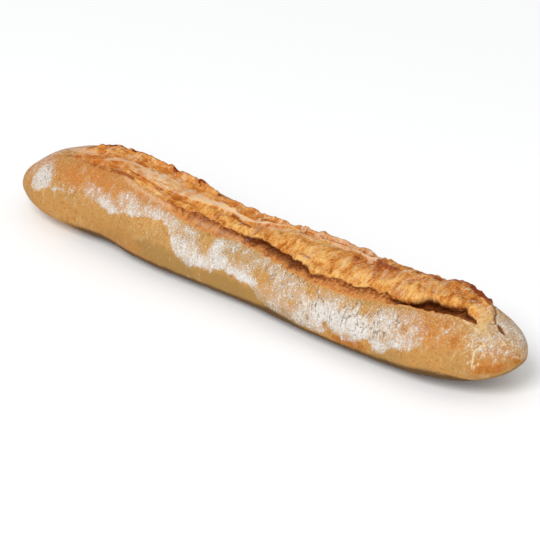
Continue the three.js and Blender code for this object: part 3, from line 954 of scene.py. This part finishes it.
def skin_colour(g):
    """Golden tan, olive in broad patches, warmer where it browned more, with pale and dark specks."""
    skin = g.blend(g.stretch("broad", (0.35, 0.65)), OLIVE_TAN, GOLDEN_TAN)
    skin = g.paint(skin, WARM_ORANGE, g.times("warm", g.stretch("patches", (0.25, 0.6), to=(0.6, 1))))
    skin = g.paint(skin, TAN_BROWN, g.patch("tanned", g.swing("patches", 1.2), (0.3, 0.6)), 0.9)
    skin = g.paint(skin, OVEN_BROWN, g.stretch("spots", (0.53, 0.66)), 0.45)
    skin = g.paint(skin, CREAM, g.stretch("flakes", (0.5, 0.75)), 0.3)
    # Olive brown on the lower front: partly its own colour, partly painted shade.
    skin = g.paint(skin, OLIVE_BROWN, g.patch("shady", g.swing("patches", 0.8), (0.2, 0.8)), 0.85)
    skin = g.paint(skin, TAN_BROWN, g.times("rough", g.stretch("pebbles", (0.5, 0.36))), 0.7)
    skin = g.paint(skin, CREAM, g.times("rough", g.stretch("pebbles", (0.52, 0.64))), 0.7)
    specked = g.times(g.stretch("grain", (0.52, 0.62)), g.stretch("speckled", (0, 1), to=(0.08, 0.36)))
    return g.paint(skin, CREAM, g.times(specked, g.stretch("warm", (0.2, 0.8), to=(1, 0.55))))


def torn_tint_and_shading(g, streaks):
    """Painted highlight on the lumps and painted shade in the creases, over the crumb's own mottling, browner
    as it climbs to the ear.
    """
    fine = g.plus(g.swing(streaks, 0.7), g.swing("grain", 0.55), g.swing("crusts", 1))
    light = g.plus(g.times("torn", 0.5), 0.3, fine)
    light = g.minus(light, g.stretch("climb", (0.1, 1), to=(-0.06, 0.24), smooth=False))
    return g.plus(light, g.stretch("tone_and_highlight", (0, 1), to=(-0.14, 0.14), smooth=False))


def crumb_colour(g, streaks, torn):
    # The ramp runs from painted shade in the creases to painted highlight on the lumps, over the crumb's own
    # browns and golds.
    crumb = g.ramp(torn, (0.08, CRUMB_BROWN), (0.3, CRUMB_ORANGE), (0.5, CRUMB_GOLD), (0.78, CRUMB_LIGHT))
    return g.paint(crumb, SCORCH_ORANGE, g.times("scorched", g.stretch(streaks, (0.3, 0.6), to=(0.95, 0.5))))


def slash_colour(g, colour, streaks, torn):
    """What lies over skin and crumb, from the lip of the slashes to the ear."""
    light = g.stretch(torn, (0.2, 0.6))
    colour = g.paint(colour, CRUMB_CREAM, g.times("cream", g.stretch(streaks, (0.38, 0.6), to=(0.25, 1))))
    colour = g.paint(colour, g.blend(light, CRUMB_ORANGE, HOLLOW_ORANGE), "hollow", 0.5)
    # Painted shade in the creases of the torn crumb.
    colour = g.paint(colour, g.blend(light, CRUMB_BROWN, CRUMB_ORANGE), "crease", 0.8)

    mottled = g.plus(g.swing("spots", 2), g.swing("flakes", 3))
    # Darker deeper into the groove: partly the cut's own browning, partly painted shade.
    band = g.blend(g.math("ADD", "sink", mottled, clamp=True), BAND_ORANGE, BAND_DEEP)
    colour = g.paint(colour, band, g.patch("band", g.times(mottled, 0.5), (0.2, 1), inside=(0, 0.3)))
    strip = g.blend(g.stretch("long_streaks", (0.4, 0.6)), STRIP_TAN, STRIP_PALE)
    pale = g.patch("strip", g.swing("patches", 1.8), (0.3, 0.7), inside=(0, 0.3))
    colour = g.paint(colour, strip, pale, 0.8)
    colour = g.paint(colour, RIDGE_CREAM, g.times("ridge", g.stretch("grain", (0.3, 0.6), to=(0.6, 0.95))))

    colour = g.paint(colour, EAR_ORANGE, g.times("ear", g.stretch("patches", (0.35, 0.6), to=(0.2, 0.8))))
    flecks = g.stretch(g.plus(g.swing("grain", 0.5), g.swing("flakes", 1.4)), (0.04, 0.14))
    flecks = g.times(flecks, g.stretch("climb", (0.1, 0.6), to=(0.12, 0.6)))
    colour = g.paint(colour, PALE_FLECK, g.times(flecks, "opened"))
    edge = g.plus(g.swing("spots", 1.2), g.swing("flakes", 1.6))
    colour = g.paint(colour, EAR_BURNT, g.patch("burnt", edge, (0.36, 0.72), inside=(0.1, 0.4)))
    # Painted shade in the groove under the crumb's edge.
    colour = g.paint(colour, CAVITY_BROWN, g.times("cavity", g.stretch("spots", (0.3, 0.6), to=(0.7, 1))))
    dusted = g.patch("dusted", g.swing("spots", 1.2), (0.2, 0.8), inside=(0, 0.25))
    colour = g.paint(colour, DUSTY_PINK, dusted, 0.75)
    rusty = g.patch("rusty", g.swing("spots", 1), (0.2, 0.9), inside=(0, 0.25))
    return g.paint(colour, RUST_BROWN, rusty, 0.85)


def flour_shares(g):
    """Flour as a thin haze, thick patches and loose specks: how much it hides, and the thick part alone."""
    dust = g.most("flour", g.times("strip", 0.25))
    uneven = g.plus(g.swing("flakes", 2), g.swing("spots", 1.2))
    haze = g.times(g.stretch(g.plus(dust, g.times(uneven, 0.35)), (0.1, 0.9)), 0.46)
    net = g.lines("net", (0, 0.05))
    thick = g.plus(dust, uneven, g.swing(g.lines("veins", (0, 0.09)), 0.8))
    thick = g.stretch(g.minus(thick, g.times(net, 0.2)), (0.6, 0.95))
    thick = g.times(thick, g.minus(1, g.times(net, 0.45)))
    specks = g.times(g.stretch(g.plus(g.times(dust, 0.3), g.swing("grain", 1)), (0.22, 0.3)), 0.65)
    bare = 1.0
    for share in (haze, thick, specks):
        bare = g.times(bare, g.minus(1, share))
    return g.times(g.minus(1, bare), 0.94), thick


def crust_material():
    material = bpy.data.materials.new("baked_crust")
    g = Graph(material)
    streaks = g.plus("round_streaks", g.times("lengthwise", g.minus("long_streaks", "round_streaks")))
    torn = torn_tint_and_shading(g, streaks)
    opened = g.patch("opened", g.swing("spots", 0.8), (0.35, 0.65))
    colour = g.blend(opened, skin_colour(g), crumb_colour(g, streaks, torn))
    colour = slash_colour(g, colour, streaks, torn)

    # Flour lies over all of it, and fine wrinkles that run round the loaf cut through the flour.
    flour, thick = flour_shares(g)
    line = g.times(g.lines("folds", (0.004, 0.022)), g.stretch("breaks", (0.44, 0.54)))
    crack = g.most(g.times(line, "wrinkled"), "folded")
    crackle = g.most(g.times(line, "crackled"), "seam")
    colour = g.paint(colour, FLOUR_WHITE, flour)
    colour = g.paint(colour, CRACK_GREY, crack, 0.85)
    colour = g.paint(colour, CRACKLE_CREAM, crackle, 0.8)
    # Painted shade in the pits, the slit and the cracks beside the seams.
    colour = g.paint(colour, PIT_BROWN, g.stretch("pit", (0.1, 0.9)))
    # Darker towards the floor: partly the hearth-baked underside, partly painted shade.
    under = g.patch("under", g.swing("patches", 0.4), (0.1, 1), inside=(0, 0.2))
    colour = g.paint(colour, HEARTH_BROWN_AND_SHADE, under, 0.92)

    relief = g.plus(g.times("grain", 0.5), g.times("spots", 0.6), g.times(g.times(streaks, "opened"), 1.6))
    relief = g.minus(g.plus(relief, g.times(thick, 0.4)), g.times(crack, 0.7))
    bump = g.node("ShaderNodeBump", dict(BUMP, Height=relief)).outputs["Normal"]
    roughness = g.stretch(flour, (0, 1), to=(0.55, 0.95))
    g.finish(Base_Color=colour, Roughness=roughness, Normal=bump, Specular_IOR_Level=0.05)
    return material


FLOOR_WHITE = (0.94, 0.945, 0.95, 1)
FLOOR_GLOW = 0.04    # light that comes up through the floor, as on a light table


def floor_material():
    material = bpy.data.materials.new("studio_floor")
    Graph(material).finish(
        Base_Color=FLOOR_WHITE, Emission_Color=FLOOR_WHITE, Emission_Strength=FLOOR_GLOW,
        Roughness=0.5, Specular_IOR_Level=0.2,
    )
    return material


# ---------------- stage

CAMERA_AZIMUTH = 38.4
CAMERA_ELEVATION = 30.0
CAMERA_DISTANCE = 2.4
CAMERA_LENS = 223.7                    # mm, on a sensor of this width
SENSOR_WIDTH = 36
SEES_TO = 50
LOOK_AT = Vector((0, -0.003, 0.027))
LOOK_RIGHT = 0.0031                    # from there, so that the loaf sits in the frame as in the photograph
LOOK_DOWN = 0.0076

WORLD_LIGHT = 0.62
LIGHTS = [
    dict(name="key", place=(0.5, -2.6, 3.1), size=2.2, power=96),
    dict(name="fill", place=(2.4, -3, 2), size=2.4, power=24),
]
LIGHTS_AIM = Vector((0, 0, 0.03))
FLOOR_SIZE = 8.0


def place_camera():
    azimuth, elevation = math.radians(CAMERA_AZIMUTH), math.radians(CAMERA_ELEVATION)
    back = Vector((
        math.sin(azimuth) * math.cos(elevation),
        -math.cos(azimuth) * math.cos(elevation),
        math.sin(elevation),
    ))
    right = Vector((math.cos(azimuth), math.sin(azimuth), 0))
    up = back.cross(right)
    camera = bpy.data.objects.new("camera", bpy.data.cameras.new("camera"))
    camera.data.lens = CAMERA_LENS
    camera.data.sensor_width = SENSOR_WIDTH
    camera.data.clip_end = SEES_TO
    camera.location = LOOK_AT + right * LOOK_RIGHT - up * LOOK_DOWN + back * CAMERA_DISTANCE
    camera.rotation_mode = "QUATERNION"
    camera.rotation_quaternion = (-back).to_track_quat("-Z", "Y")
    bpy.context.collection.objects.link(camera)
    bpy.context.scene.camera = camera


def place_light(name, place, size, power):
    light = bpy.data.lights.new(name, "AREA")
    light.shape = "DISK"
    light.size = size
    light.energy = power
    lamp = bpy.data.objects.new(name, light)
    lamp.location = place
    lamp.rotation_mode = "QUATERNION"
    lamp.rotation_quaternion = (LIGHTS_AIM - Vector(place)).to_track_quat("-Z", "Y")
    bpy.context.collection.objects.link(lamp)


def light_stage():
    world = bpy.data.worlds.new("studio")
    bpy.context.scene.world = world
    world.use_nodes = True
    background = world.node_tree.nodes["Background"]
    background.inputs["Color"].default_value = (1, 1, 1, 1)
    background.inputs["Strength"].default_value = WORLD_LIGHT
    for light in LIGHTS:
        place_light(**light)


def lay_floor():
    half = FLOOR_SIZE / 2
    mesh = bpy.data.meshes.new("floor")
    corners = [(-half, -half, 0), (half, -half, 0), (half, half, 0), (-half, half, 0)]
    mesh.from_pydata(corners, [], [(0, 1, 2, 3)])
    floor = bpy.data.objects.new("floor", mesh)
    mesh.materials.append(floor_material())
    bpy.context.collection.objects.link(floor)


def main():
    bpy.context.scene.view_settings.view_transform = "Standard"
    place_camera()
    light_stage()
    lay_floor()
    loaf = bpy.data.objects.new("crust", loaf_mesh())
    loaf.data.materials.append(crust_material())
    bpy.context.collection.objects.link(loaf)
    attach(loaf, "root")
    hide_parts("loaf")


main()
